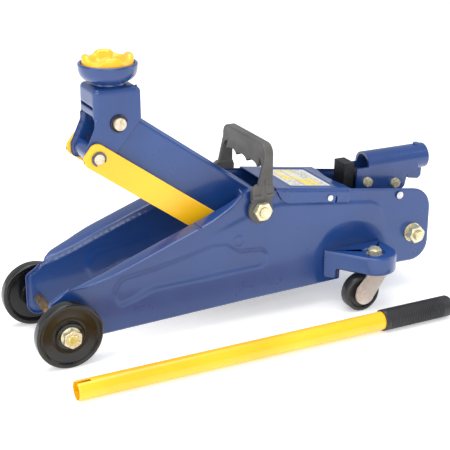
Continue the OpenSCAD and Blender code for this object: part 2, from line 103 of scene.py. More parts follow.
def resample(P, step):
    """Closed outline with points no further apart than step, keeping every corner."""
    out = []
    m = len(P)
    for i in range(m):
        a, b = np.array(P[i], float), np.array(P[(i + 1) % m], float)
        k = max(1, int(math.ceil(np.linalg.norm(b - a) / step)))
        for j in range(k):
            out.append(tuple(a + (b - a) * j / k))
    return out


def dist_poly(Q, P):
    """Distance of points Q to the closed polyline P, sign negative inside, and the nearest segment's index."""
    Q = np.asarray(Q, float)
    P = np.asarray(P, float)
    A, B = P, np.roll(P, -1, 0)
    D = B - A
    L2 = np.maximum((D ** 2).sum(1), 1e-12)
    best = np.full(len(Q), 1e18)
    idx = np.zeros(len(Q), int)
    inside = np.zeros(len(Q), bool)
    for i in range(len(P)):
        t = np.clip(((Q - A[i]) @ D[i]) / L2[i], 0, 1)
        d2 = ((Q - (A[i] + t[:, None] * D[i])) ** 2).sum(1)
        w = d2 < best
        best[w] = d2[w]
        idx[w] = i
        y0, y1 = A[i][1], B[i][1]
        c = (y0 > Q[:, 1]) != (y1 > Q[:, 1])
        if c.any():
            xs = A[i][0] + (Q[:, 1] - y0) * (B[i][0] - A[i][0]) / (y1 - y0 if y1 != y0 else 1e-9)
            inside ^= c & (Q[:, 0] < xs)
    d = np.sqrt(best)
    return np.where(inside, -d, d), idx


def inside_soft(Q, P, w):
    """1 well inside P, 0 well outside, smooth over a band w wide across the line."""
    d, _ = dist_poly(Q, P)
    t = np.clip(0.5 - d / w, 0, 1)
    return t * t * (3 - 2 * t)


# ------------------------------------------------------------------ mesh helpers
def to_world(V):
    V = np.asarray(V, float)
    return np.stack([(V[:, 0] - OX) / 1000, (V[:, 1] - OY) / 1000, V[:, 2] / 1000], 1)


def fix_normals(me):
    bm = bmesh.new()
    bm.from_mesh(me)
    bmesh.ops.remove_doubles(bm, verts=bm.verts, dist=2e-6)
    bmesh.ops.recalc_face_normals(bm, faces=bm.faces)
    bm.to_mesh(me)
    bm.free()


def piece(name, V, F, mat, body, nodes=(), smooth=35, bevel=0.0, segs=3, fmats=None, solid=None, fix=True, bang=32):
    """A piece from jack-local millimetre vertices. bevel and solid (a sheet's thickness) are in mm."""
    me = bpy.data.meshes.new(name)
    me.from_pydata([tuple(v) for v in to_world(V)], [], [tuple(f) for f in F])
    mats = mat if isinstance(mat, (list, tuple)) else [mat]
    for m in mats:
        me.materials.append(m)
    if fmats is not None:
        me.polygons.foreach_set("material_index", fmats)
    me.validate()
    if fix:
        fix_normals(me)
    me.shade_smooth()
    if not bevel:
        me.set_sharp_from_angle(angle=math.radians(smooth))
    ob = bpy.data.objects.new(name, me)
    bpy.context.scene.collection.objects.link(ob)
    if solid:
        md = ob.modifiers.new("sheet", "SOLIDIFY")
        md.thickness = solid / 1000
        md.offset = -1
        md.use_even_offset = True
        md.thickness_clamp = 0.9
    if bevel:
        add_bevel(ob, bevel, segs, bang)
    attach(ob, body)
    if nodes:
        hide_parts(*nodes)
    return ob


def add_bevel(ob, width, segs=2, ang=32):
    md = ob.modifiers.new("edge", "BEVEL")
    md.width = width / 1000
    md.segments = segs
    md.limit_method = "ANGLE"
    md.angle_limit = math.radians(ang)
    md.use_clamp_overlap = True
    md.miter_outer = "MITER_ARC"
    wn = ob.modifiers.new("normals", "WEIGHTED_NORMAL")
    wn.keep_sharp = False
    wn.weight = 90
    return ob


def merge(parts):
    V, F, M = [], [], []
    for p in parts:
        off = len(V)
        V.extend([tuple(v) for v in p[0]])
        F.extend([tuple(i + off for i in f) for f in p[1]])
        M.extend(p[2] if len(p) > 2 else [0] * len(p[1]))
    return V, F, M


def mirrored(part):
    V = [(v[0], -v[1], v[2]) for v in part[0]]
    F = [tuple(reversed(f)) for f in part[1]]
    return (V, F) + tuple(part[2:])


def prism_y(P, y0, y1):
    """X-Z outline P between two Y planes."""
    P = ccw(P)
    n = len(P)
    V = [(p[0], y0, p[1]) for p in P] + [(p[0], y1, p[1]) for p in P]
    F = [tuple(range(n)), tuple(range(2 * n - 1, n - 1, -1))]
    F += [(i, i + n, (i + 1) % n + n, (i + 1) % n) for i in range(n)]
    return V, F


def prism_x(P, x0, x1):
    """Y-Z outline P between two X planes."""
    P = ccw(P)
    n = len(P)
    V = [(x0, p[0], p[1]) for p in P] + [(x1, p[0], p[1]) for p in P]
    F = [tuple(range(n - 1, -1, -1)), tuple(range(n, 2 * n))]
    F += [((i + 1) % n, (i + 1) % n + n, i + n, i) for i in range(n)]
    return V, F


def prism_z(P, z0, z1):
    P = ccw(P)
    n = len(P)
    V = [(p[0], p[1], z0) for p in P] + [(p[0], p[1], z1) for p in P]
    F = [tuple(range(n - 1, -1, -1)), tuple(range(n, 2 * n))]
    F += [(i, (i + 1) % n, (i + 1) % n + n, i + n) for i in range(n)]
    return V, F


def radial(rings, centre, axis, n=72, turn=0.0, closed=True):
    """Rings of (r, a), r a number or a function of the angle, a likewise, about an axis 'x', 'y', '-y' or 'z'."""
    V, F = [], []
    for r, a in rings:
        for i in range(n):
            t = turn + 2 * math.pi * i / n
            rr = r(t) if callable(r) else r
            aa = a(t) if callable(a) else a
            c, s = rr * math.cos(t), rr * math.sin(t)
            if axis == "y":
                V.append((centre[0] + c, centre[1] + aa, centre[2] + s))
            elif axis == "-y":
                V.append((centre[0] + c, centre[1] - aa, centre[2] + s))
            elif axis == "x":
                V.append((centre[0] + aa, centre[1] + c, centre[2] + s))
            else:
                V.append((centre[0] + c, centre[1] + s, centre[2] + aa))
    m = len(rings)
    for k in range(m if closed else m - 1):
        a, b = k * n, ((k + 1) % m) * n
        F += [(a + i, a + (i + 1) % n, b + (i + 1) % n, b + i) for i in range(n)]
    if not closed:
        F.append(tuple(range(n)))
        F.append(tuple(range((m - 1) * n, m * n)))
    return V, F


def arc(c, r, a0, a1, n=6):
    """Profile points (r, a) on a round: c is its centre, angles in degrees."""
    return [(c[0] + r * math.cos(math.radians(a0 + (a1 - a0) * i / n)), c[1] + r * math.sin(math.radians(a0 + (a1 - a0) * i / n))) for i in range(n + 1)]


def hex_nut(af, hole, h, turn):
    """Rings of a nut with the chamfered corners of a machined one."""
    rc = af / 2 * 0.965

    def hexr(t):
        x = (t - turn) % (math.pi / 3) - math.pi / 6
        return af / 2 / math.cos(x)

    top = lambda t: h - (hexr(t) - rc) * math.tan(math.radians(32))
    low = lambda t: (hexr(t) - rc) * 0.25
    return [(hole, 0.0), (hole, h - 0.5), (hole + 0.6, h), (rc, h), (hexr, top), (hexr, low), (rc, 0.0)]


def pressed(P, R, t, y_out, flanges=(), grid=3.0, height=None, step=2.5, extra=(), ysign=1, roll=None):
    """One pressed side in the X-Z plane: a sheet whose edges roll inwards with radius R(point), or outwards where roll says -1.
    flanges: (test(point), y) pairs, where the rolled edge goes on inwards as a flat strip to that y."""
    P = resample(ccw(P), step)
    A = np.array(P, float)
    n = len(A)
    tang = np.roll(A, -1, 0) - np.roll(A, 1, 0)
    tang /= np.linalg.norm(tang, axis=1)[:, None]
    inward = np.stack([-tang[:, 1], tang[:, 0]], 1)
    Rv = np.array([R(p) for p in A], float)
    pts = [A]
    for th in (72, 54, 36, 18, 0):
        off = A + inward * (Rv * (1 - math.sin(math.radians(th))))[:, None]
        d, _ = dist_poly(off, A)
        keep = (-d) > Rv * (1 - math.sin(math.radians(th))) * 0.85
        pts.append(off[keep])
    lo, hi = A.min(0), A.max(0)
    gx, gz = np.meshgrid(np.arange(lo[0] + grid / 2, hi[0], grid), np.arange(lo[1] + grid / 2, hi[1], grid))
    G = np.stack([gx.ravel(), gz.ravel()], 1)
    d, idx = dist_poly(G, A)
    G = G[-d > np.maximum(Rv[idx], 0.5) + grid * 0.35]
    pts.append(G)
    for e in extra:
        pts.append(np.array(e, float))
    Q = np.concatenate(pts)
    co, _, fc, _, _, _ = delaunay_2d_cdt([Vector(q) for q in Q], [(i, (i + 1) % n) for i in range(n)], [], 1, 1e-4)
    co = np.array([tuple(c) for c in co])
    d, idx = dist_poly(co, A)
    d = np.maximum(-d, 0)
    Rn = Rv[idx]
    x = np.clip(Rn - d, 0, None)
    depth = Rn - np.sqrt(np.maximum(Rn ** 2 - x ** 2, 0))
    y = y_out - (depth if roll is None else depth * np.array([roll(p) for p in A], float)[idx])
    if height is not None:
        y = y + height(co) * np.clip(d / np.maximum(Rn, 0.1), 0, 1)
    V = [(c[0], yy, c[1]) for c, yy in zip(co, y)]
    F = [tuple(f) for f in fc]
    # strips
    key = {(round(c[0], 3), round(c[1], 3)): i for i, c in enumerate(co)}
    ring = [key.get((round(p[0], 3), round(p[1], 3))) for p in A]
    for test, y1 in flanges:
        flag = [test(p) for p in A]
        new = {}
        rows = 4
        for i in range(n):
            j = (i + 1) % n
            if flag[i] and flag[j] and ring[i] is not None and ring[j] is not None:
                for k in (i, j):
                    if k not in new:
                        new[k] = [ring[k]]
                        for r in range(1, rows + 1):
                            yb = V[ring[k]][1]
                            ye = y1(A[k]) if callable(y1) else y1
                            V.append((A[k][0], yb + (ye - yb) * r / rows, A[k][1]))
                            new[k].append(len(V) - 1)
                for r in range(rows):
                    F.append((new[i][r], new[j][r], new[j][r + 1], new[i][r + 1]))
    if ysign < 0:
        return mirrored((V, F))
    return V, F


def slab(P, R, c0, c1, plane="XZ", grid=4.0, step=1.5):
    """A closed plate between c0 and c1 with edges rounded by R on both faces. P lies in the named plane."""
    half = pressed(P, lambda p: R, 0, (c1 - c0) / 2, flanges=[(lambda p: True, 0.0)], grid=grid, step=step)
    V, F, _ = merge([half, mirrored(half)])
    mid = (c0 + c1) / 2
    if plane == "XZ":
        V = [(a, b + mid, c) for a, b, c in V]
    elif plane == "YZ":
        V = [(b + mid, a, c) for a, b, c in V]
    else:
        V = [(a, c, b + mid) for a, b, c in V]
    return V, F


def outward(ob, key):
    """Turn an open sheet's faces so that they look away along key(face) before its thickness goes inwards."""
    bm = bmesh.new()
    bm.from_mesh(ob.data)
    bmesh.ops.remove_doubles(bm, verts=bm.verts, dist=2e-5)
    bmesh.ops.recalc_face_normals(bm, faces=bm.faces)
    if sum(key(f) * f.calc_area() for f in bm.faces) < 0:
        bmesh.ops.reverse_faces(bm, faces=bm.faces)
    bm.to_mesh(ob.data)
    bm.free()
    ob.data.shade_smooth()
    return ob


# ------------------------------------------------------------------ materials
def rgb(r, g, b):
    f = lambda c: (c / 255 / 12.92) if c / 255 <= 0.04045 else ((c / 255 + 0.055) / 1.055) ** 2.4
    return (f(r), f(g), f(b), 1.0)


class Mat:
    """A node material, built with a few short calls. Coordinates are the object's own, in metres."""

    def __init__(self, name):
        self.m = bpy.data.materials.new(name)
        self.m.use_nodes = True
        self.t = self.m.node_tree
        self.b = self.t.nodes["Principled BSDF"]
        self.co = self.n("ShaderNodeTexCoord").outputs["Object"]
        self.geo = None

    def n(self, kind, **kw):
        nd = self.t.nodes.new(kind)
        for k, v in kw.items():
            setattr(nd, k, v)
        return nd

    def link(self, a, b):
        self.t.links.new(a, b)
        return b

    def set(self, **kw):
        for k, v in kw.items():
            self.b.inputs[k.replace("_", " ")].default_value = v

    def scaled(self, sx, sy, sz, co=None):
        mp = self.n("ShaderNodeMapping")
        mp.inputs["Scale"].default_value = (sx, sy, sz)
        self.link(co or self.co, mp.inputs["Vector"])
        return mp.outputs[0]

    def noise(self, scale, detail=3.0, rough=0.5, co=None, dist=0.0):
        nz = self.n("ShaderNodeTexNoise")
        nz.inputs["Scale"].default_value = scale
        nz.inputs["Detail"].default_value = detail
        nz.inputs["Roughness"].default_value = rough
        nz.inputs["Distortion"].default_value = dist
        self.link(co or self.co, nz.inputs["Vector"])
        return nz.outputs["Fac"]

    def ramp(self, fac, stops, interp="LINEAR"):
        r = self.n("ShaderNodeValToRGB")
        r.color_ramp.interpolation = interp
        e = r.color_ramp.elements
        while len(e) < len(stops):
            e.new(0.5)
        for el, (p, c) in zip(e, stops):
            el.position = p
            el.color = c if len(c) == 4 else (*c, 1)
        self.link(fac, r.inputs[0])
        return r.outputs[0]

    def span(self, fac, lo, hi, a=0.0, b=1.0):
        r = self.n("ShaderNodeMapRange")
        r.inputs[1].default_value, r.inputs[2].default_value = a, b
        r.inputs[3].default_value, r.inputs[4].default_value = lo, hi
        self.link(fac, r.inputs[0])
        return r.outputs[0]

    def mix(self, fac, a, b):
        m = self.n("ShaderNodeMix", data_type="RGBA")
        if isinstance(fac, float):
            m.inputs[0].default_value = fac
        else:
            self.link(fac, m.inputs[0])
        for s, v in ((6, a), (7, b)):
            if isinstance(v, tuple):
                m.inputs[s].default_value = v
            else:
                self.link(v, m.inputs[s])
        return m.outputs[2]

    def math(self, op, a, b=0.0):
        m = self.n("ShaderNodeMath", operation=op)
        for i, v in enumerate((a, b)):
            if isinstance(v, (int, float)):
                m.inputs[i].default_value = v
            else:
                self.link(v, m.inputs[i])
        return m.outputs[0]

    def bump(self, height, strength, dist=0.0003, prev=None):
        b = self.n("ShaderNodeBump")
        b.inputs["Strength"].default_value = strength
        b.inputs["Distance"].default_value = dist
        self.link(height, b.inputs["Height"])
        if prev is not None:
            self.link(prev, b.inputs["Normal"])
        return b.outputs[0]

    def edge(self, lo=0.52, hi=0.62):
        g = self.geo or self.n("ShaderNodeNewGeometry")
        self.geo = g
        return self.span(g.outputs["Pointiness"], 0.0, 1.0, lo, hi)

    def col(self, v):
        self.link(v, self.b.inputs["Base Color"])

    def rough(self, v):
        self.link(v, self.b.inputs["Roughness"])

    def normal(self, v):
        self.link(v, self.b.inputs["Normal"])


def paint(name, base, deep, light, primer, coat=0.6, wear=True):
    """Gloss paint over steel: slow shade drift, fine orange peel, dust in the gloss and thin worn edges."""
    m = Mat(name)
    drift = m.noise(9, 3, 0.55)
    c = m.ramp(drift, [(0.3, deep), (0.5, base), (0.72, light)])
    fleck = m.noise(2600, 2, 0.5)
    c = m.mix(m.span(fleck, 0.0, 0.16, 0.55, 0.8), c, light)
    if wear:
        chips = m.noise(420, 4, 0.7)
        edge = m.math("MULTIPLY", m.edge(0.535, 0.6), m.span(chips, 0.0, 1.0, 0.5, 0.62))
        c = m.mix(m.math("MULTIPLY", edge, 0.55), c, primer)
    m.col(c)
    dust = m.noise(34, 5, 0.65)
    m.rough(m.span(dust, 0.25, 0.42, 0.3, 0.75))
    peel = m.noise(310, 2, 0.5)
    fine = m.noise(1500, 2, 0.5)
    nb = m.bump(peel, 0.1, 0.0002)
    m.normal(m.bump(fine, 0.03, 0.0001, nb))
    m.set(Coat_Weight=coat, Coat_Roughness=0.12, Metallic=0.0, IOR=1.5)
    return m.m


def metal(name, base, deep, light, rough=(0.2, 0.4), metallic=1.0, scale=60, turn=None, stain=None):
    m = Mat(name)
    a = m.noise(scale, 4, 0.6)
    c = m.ramp(a, [(0.3, deep), (0.5, base), (0.75, light)])
    if stain:
        c = m.mix(m.span(m.noise(scale * 0.5, 3, 0.6, dist=0.6), 0.0, 0.8, 0.52, 0.7), c, stain)
    m.col(c)
    m.rough(m.span(m.noise(scale * 2.2, 4, 0.6), rough[0], rough[1], 0.3, 0.7))
    if turn:
        br = m.noise(900, 3, 0.6, co=m.scaled(*turn))
        m.normal(m.bump(br, 0.25, 0.00012))
    else:
        m.normal(m.bump(m.noise(900, 3, 0.6), 0.18, 0.00015))
    m.set(Metallic=metallic)
    return m.m


def plastic(name, base, light, grain=900, g=0.3, rough=(0.38, 0.55), spec=0.5, streak=None):
    m = Mat(name)
    c = m.ramp(m.noise(26, 4, 0.6), [(0.3, base), (0.75, light)])
    c = m.mix(m.math("MULTIPLY", m.edge(0.53, 0.62), 0.35), c, light)
    m.col(c)
    m.rough(m.span(m.noise(60, 4, 0.6), rough[0], rough[1], 0.3, 0.7))
    h = m.noise(grain, 3, 0.6)
    m.normal(m.bump(h, g, 0.00018))
    m.set(Specular_IOR_Level=spec)
    return m.m


M = {}
M["blue"] = paint("blue_gloss_paint", rgb(23, 60, 121), rgb(19, 52, 109), rgb(29, 69, 132), rgb(120, 132, 152), coat=0.5, wear=False)
M["yellow"] = paint("yellow_gloss_paint", rgb(250, 190, 10), rgb(243, 178, 5), rgb(253, 201, 28), rgb(160, 126, 50), coat=0.45)
M["wheel"] = plastic("wheel_black", rgb(13, 13, 14), rgb(26, 26, 27), grain=420, g=0.12, rough=(0.1, 0.2), spec=0.5)
M["caster"] = plastic("caster_black", rgb(24, 24, 25), rgb(48, 47, 46), grain=700, g=0.25, rough=(0.25, 0.45))
M["grey"] = plastic("handle_grey_plastic", rgb(66, 65, 63), rgb(92, 90, 87), grain=1400, g=0.4, rough=(0.42, 0.55))
M["vinyl"] = plastic("black_vinyl", rgb(15, 15, 17), rgb(44, 44, 48), grain=1200, g=0.3, rough=(0.35, 0.5))
M["cast"] = metal("cast_black", rgb(22, 23, 27), rgb(14, 15, 18), rgb(38, 39, 44), rough=(0.4, 0.62), metallic=0.3, scale=120)
M["zinc"] = metal("gold_zinc", rgb(222, 214, 182), rgb(200, 188, 146), rgb(238, 234, 214), rough=(0.2, 0.36), metallic=0.6, scale=150, stain=rgb(206, 200, 154))
M["axle"] = metal("axle_zinc", rgb(168, 128, 84), rgb(120, 84, 52), rgb(205, 172, 120), rough=(0.2, 0.38), scale=120, stain=rgb(130, 92, 60))
_ax = Mat("axle_two_tone")
_sp = _ax.n("ShaderNodeSeparateXYZ")
_ax.link(_ax.co, _sp.inputs[0])
_far = _ax.span(_ax.math("ABSOLUTE", _ax.math("SUBTRACT", _sp.outputs[1], 0.021)), 0.0, 1.0, 0.055, 0.058)
_br = _ax.ramp(_ax.noise(140, 4, 0.6), [(0.3, rgb(150, 118, 76)), (0.5, rgb(176, 146, 100)), (0.75, rgb(204, 178, 132))])
_zn = _ax.ramp(_ax.noise(170, 4, 0.6), [(0.3, rgb(196, 186, 116)), (0.5, rgb(222, 216, 150)), (0.75, rgb(238, 236, 200))])
_ax.col(_ax.mix(_far, _br, _zn))
_ax.rough(_ax.span(_ax.noise(300, 4, 0.6), 0.2, 0.38, 0.3, 0.7))
_ax.normal(_ax.bump(_ax.noise(900, 3, 0.6), 0.2, 0.00015))
_ax.set(Metallic=0.8)
M["axle"] = _ax.m
M["steel"] = metal("bright_steel", rgb(206, 206, 208), rgb(168, 168, 172), rgb(232, 232, 234), rough=(0.14, 0.3), scale=90)
M["nickel"] = metal("nickel_steel", rgb(214, 200, 190), rgb(196, 180, 168), rgb(228, 218, 210), rough=(0.26, 0.42), metallic=0.35, scale=70)
M["pin"] = metal("pin_end", rgb(212, 198, 176), rgb(176, 156, 126), rgb(228, 218, 200), rough=(0.28, 0.45), metallic=0.45, scale=240)
M["clip"] = metal("clip_steel", rgb(92, 94, 104), rgb(64, 66, 76), rgb(120, 122, 132), rough=(0.3, 0.5), metallic=0.6, scale=300)
M["dark"] = metal("dark_steel", rgb(62, 62, 66), rgb(40, 40, 44), rgb(90, 90, 94), rough=(0.3, 0.5), scale=140)


def label_material(name, a, b):
    """Printed foil: a little ink variation and scuffing under a clear film."""
    m = Mat(name)
    c = m.ramp(m.noise(240, 4, 0.6), [(0.35, a), (0.7, b)])
    c = m.mix(m.math("MULTIPLY", m.span(m.noise(900, 3, 0.7), 0.0, 1.0, 0.6, 0.7), 0.35), c, rgb(190, 190, 186))
    m.col(c)
    m.rough(m.span(m.noise(120, 3, 0.6), 0.26, 0.42, 0.3, 0.7))
    m.normal(m.bump(m.noise(500, 2, 0.5), 0.08, 0.0001))
    m.set(Coat_Weight=0.3, Coat_Roughness=0.2)
    return m.m


M["label"] = label_material("label_ground", rgb(206, 203, 192), rgb(222, 219, 208))
M["label_yellow"] = label_material("label_yellow_ink", rgb(226, 200, 40), rgb(236, 214, 74))
M["label_grey"] = label_material("label_grey_ink", rgb(128, 134, 142), rgb(150, 154, 160))

NODE_MAT = {
    "side_plate_left": "blue", "side_plate_right": "blue", "base_plate": "blue", "rear_tie_tube": "blue",
    "rear_tie_bolt": "zinc", "rear_tie_nuts": "zinc", "rear_tie_washers": "zinc",
    "front_axle": "axle", "front_axle_spacers": "axle", "front_wheel_left": "wheel", "front_wheel_right": "wheel",
    "front_axle_washers": "zinc", "front_axle_nuts": "zinc", "lift_arm": "blue", "lift_arm_shaft": "zinc",
    "lift_arm_shaft_nuts": "zinc", "lever_roller": "steel", "lever_pin": "steel", "link_left": "yellow", "link_right": "yellow",
    "link_rear_pins": "pin", "link_front_pin": "pin", "link_front_clips": "clip", "head_bracket": "blue", "head_pin": "pin",
    "head_pin_clips": "dark", "saddle_cup": "blue", "saddle_pad": "yellow", "top_cover": "blue", "cover_label": "label",
    "cover_screws": "steel", "caster_bracket_left": "blue", "caster_bracket_right": "blue", "caster_kingpins": "zinc",
    "caster_kingpin_nuts": "zinc", "caster_fork_left": "nickel", "caster_fork_right": "nickel", "caster_wheel_left": "caster",
    "caster_wheel_right": "caster", "caster_axle_left": "nickel", "caster_axle_right": "nickel", "pump_block": "cast",
    "hydraulic_cylinder": "cast", "gland_nut": "cast", "ram": "steel", "ram_head": "steel", "pump_plunger": "steel",
    "release_valve": "steel", "filler_plug": "steel", "handle_socket": "blue", "socket_bolts": "zinc", "socket_nuts": "zinc",
    "plunger_roller": "steel", "carry_handle": "grey", "pump_handle_tube": "yellow", "pump_handle_grip": "vinyl",
}
BEVEL = {"base_plate": 0.6, "rear_tie_bolt": 0.7, "rear_tie_washers": 0.4, "front_axle": 0.0, "front_axle_spacers": 0.4,
         "front_axle_washers": 0.4, "lift_arm_shaft": 0.7, "lever_pin": 0.5, "lever_roller": 0.8, "link_rear_pins": 0.6,
         "link_front_pin": 0.4, "head_pin": 0.5, "cover_screws": 0.5, "caster_kingpins": 0.5, "caster_axle_left": 0.5,
         "caster_axle_right": 0.5, "pump_block": 1.2, "hydraulic_cylinder": 0.8, "gland_nut": 0.8, "ram": 0.4, "ram_head": 0.8,
         "pump_plunger": 0.5, "release_valve": 0.5, "filler_plug": 0.4, "socket_bolts": 0.5, "socket_nuts": 0.4,
         "plunger_roller": 0.8, "link_left": 0.8, "link_right": 0.8, "caster_fork_left": 0.5, "caster_fork_right": 0.5,
         "caster_bracket_left": 2.4, "caster_bracket_right": 2.4, "handle_socket": 0.8, "carry_handle": 0.8, "top_cover": 0.4,
         "head_bracket": 0.8, "lift_arm": 0.8}
for name, ob in N.items():
    ob.data.materials.clear()
    ob.data.materials.append(M[NODE_MAT[name]])
    wd = ob.modifiers.new("join", "WELD")
    wd.merge_threshold = 2e-6
    if BEVEL.get(name):
        add_bevel(ob, BEVEL[name], 2, 40)

# ------------------------------------------------------------------ side plates
TOP_X = np.arange(8.0, 190.5, 2.6)
TOP_ZS = np.interp(TOP_X, [8, 23, 40, 62, 100, 130, 160, 176, 190], [72.0, 77.0, 82.4, 91.2, 105.2, 116.0, 127.2, 133.4, 140.8])
for _ in range(3):
    TOP_ZS[1:-1] = (TOP_ZS[:-2] + 2 * TOP_ZS[1:-1] + TOP_ZS[2:]) / 4
OUT_TOP = [(float(a), float(b), 0) for a, b in zip(TOP_X, TOP_ZS)]
OUTLINE = rounded([(-13, 17, 13), (-13, 61, 6), (4, 71.4, 3)] + OUT_TOP +
                  [(203, topz(203), 3), (421.5, topz(421.5), 25), (422, 30, 21), (386, 31, 3), (364, 30.5, 3),
                   (361.5, 43.5, 5), (310, 43.5, 5), (309.6, 25.6, 2), (200, 22.9, 0), (10, 16.4, 0)], 7)


def on_top(p, pad=0.0):
    """Is this outline point on the sloping top edge, from the notch to the carry handle?"""
    return 7.9 <= p[0] <= 190.3 and p[1] > 68.0 + 0.30 * max(0.0, p[0] - 40) and p[1] < topz(p[0]) - 1


def plate_R(p):
    if on_top(p):
        return 1.9 * min(1.0, max(0.12, (p[0] - 8) / 7), max(0.12, (190.3 - p[0]) / 7))
    if p[1] > 58 and p[0] < 9:
        return 3.2 * min(1.0, max(0.1, (8.5 - p[0]) / 10))
    if p[0] > 189 and p[0] < 200 and p[1] > 130:
        return 3.2 * min(1.0, max(0.1, (p[0] - 189.5) / 7))
    return 3.2


EMB = rounded([(57, 45.5, 5), (68, 47, 8), (92, 56.5, 22), (214, 59.8, 8), (222, 68.5, 7), (214, 77.2, 7), (187, 79.5, 9),
               (174, 89, 9), (158, 90.5, 12), (120, 82, 20), (92, 77, 30), (60, 73, 8), (51, 60, 10)], 6)
STEP = [(140, 99), (168, 105.6), (187.2, 112.2), (212, 119.5), (232.7, 122.6), (280, 116.2), (344, 108), (352, 104.5), (356.5, 99),
        (360.5, 88), (368, 72), (376, 55), (380, 20), (450, 20), (450, 170), (140, 170)]


def plate_height(Q):
    h = -1.25 * inside_soft(Q, EMB, 5.4)
    ramp = np.clip((Q[:, 0] - 146) / 30, 0, 1)
    fade = np.where(Q[:, 0] > 330, np.clip((Q[:, 1] - 72) / 30, 0, 1), 1.0)
    h -= 1.2 * inside_soft(Q, STEP, 3.2) * ramp * fade
    # the riveted pin of the link leaves a shallow broken ring
    rr = np.hypot(Q[:, 0] - PB[0], Q[:, 1] - PB[1])
    an = np.arctan2(Q[:, 1] - PB[1], Q[:, 0] - PB[0])
    gap = np.clip((np.abs(an - 0.2) - 0.35) / 0.25, 0, 1)
    h -= 0.55 * np.exp(-((rr - 5.4) / 0.75) ** 2) * gap
    # the hollow pressed in above each caster bracket
    u = (Q[:, 0] - 322) / 46.0
    w = (Q[:, 1] - 54) / 37.0
    w = np.where(w < 0, w * 0.6, w)
    r = np.sqrt(u * u + w * w)
    t = np.clip(1 - r * r, 0, 1)
    h -= 5.2 * t ** 1.35
    return h


def flange_far(p):
    return on_top(p)


def flange_y(p):
    """How far out the level flange along the sloping edge reaches."""
    return float(np.interp(p[0], [8, 10, 20, 33, 50, 64, 150, 172, 188, 190.3], [39.9, 43.5, 51, 54.5, 58, 59.5, 59.5, 53, 44, 40.2]))


ring_pts = [circle(PB, 5.4 + k, 40) for k in (-1.6, -0.8, 0, 0.8, 1.6)]
side = pressed(OUTLINE, plate_R, 3, PLATE, flanges=[(flange_far, flange_y)], grid=2.2, height=plate_height, extra=ring_pts,
               roll=lambda p: -1.0 if on_top(p) else 1.0)
for nm, s in (("side_plate_left", -1), ("side_plate_right", 1)):
    part = side if s > 0 else mirrored(side)
    V, F = part[0], part[1]
    ob = piece(nm + "_pressed", V, F, M["blue"], "frame", (nm,), smooth=60, solid=2.6, fix=False)
    me = ob.data
    bm = bmesh.new()
    bm.from_mesh(me)
    bmesh.ops.recalc_face_normals(bm, faces=bm.faces)
    # outside faces look away from the middle plane
    f0 = max(bm.faces, key=lambda f: f.calc_area())
    acc = sum(f.normal.y * f.calc_area() for f in bm.faces if abs(f.normal.y) > 0.7)
    if acc * s < 0:
        bmesh.ops.reverse_faces(bm, faces=bm.faces)
    bm.to_mesh(me)
    bm.free()
    me.shade_smooth()

pins = []
for s in (-1, 1):
    pins.append(radial([(8.0, 19.6), (8.0, 21.7), (5.3, 21.9), (5.3, 36.6)], (PB[0], 0, PB[1]), "y" if s > 0 else "-y", 48, closed=False))
V, F, _ = merge(pins)
piece("link_rear_pins_turned", V, F, M["pin"], "frame", ("link_rear_pins",), smooth=35)

# ------------------------------------------------------------------ links: flat bars with square rounded ends
def link_part(s):
    e = 12.5
    out = rounded([(-ARM - e, -e, 8.5), (e, -e, 12.4), (e, e, 12.4), (-ARM - e + 0.5, e, 8.5)], 8)
    V, F = slab(out, 0.9, 22.0, 26.5, "XZ", grid=6.0, step=2.0)
    c, sn = math.cos(ARM_A), math.sin(ARM_A)
    return [(PB[0] + x * c + z * sn, s * y, PB[1] - x * sn + z * c) for x, y, z in V], (F if s > 0 else [tuple(reversed(f)) for f in F])


for nm, s in (("left", -1), ("right", 1)):
    V, F = link_part(s)
    piece("link_%s_bar" % nm, V, F, M["yellow"], "link_" + nm, ("link_" + nm,), smooth=40)

# ------------------------------------------------------------------ front wheels
WR, WW, FACE = 33.0, 12.0, 59.3


def wheel_profile():
    o = WW
    p = [(5.06, 0.2), (13, 0.2), (14.2, 3)]
    p += [(WR - 7, 3), (WR - 5.6, 1.2)]
    p += arc((WR - 3.6, 1.6), 1.6, 200, 270, 4) + arc((WR - 2.2, 2.2), 2.2, 280, 360, 6)
    p += arc((WR - 2.2, o - 2.2), 2.2, 0, 90, 7)
    p += [(29.2, o), (28.7, o - 0.15), (28.3, o - 0.6), (28.0, o - 1.8), (27.5, o - 2.2), (26.8, o - 2.3), (20.0, o - 2.3), (15.6, o - 2.3), (14.8, o - 2.7), (14.2, o - 3.3), (13.4, o - 3.3), (12.9, o - 1.9), (12.2, o - 1.6), (5.06, o - 1.6)]
    return p


def profile_cleanup(p):
    out = []
    for q in p:
        if not out or math.hypot(q[0] - out[-1][0], q[1] - out[-1][1]) > 0.02:
            out.append(q)
    return out


for nm, s in (("left", -1), ("right", 1)):
    V, F = radial(profile_cleanup(wheel_profile()), (0, s * (FACE - WW), WR), "y" if s > 0 else "-y", 120)
    piece("front_wheel_%s_moulded" % nm, V, F, M["wheel"], "front_wheel_" + nm, ("front_wheel_" + nm,), smooth=38)

# ------------------------------------------------------------------ nuts
def nuts(name, mat, body, node, places, af, hole, h, turn):
    parts = []
    for c, ax in places:
        V, F = radial(hex_nut(af, hole, h, turn), c, ax, 72, turn)
        parts.append((V, F))
    V, F, _ = merge(parts)
    return piece(name, V, F, mat, body, (node,), smooth=24)


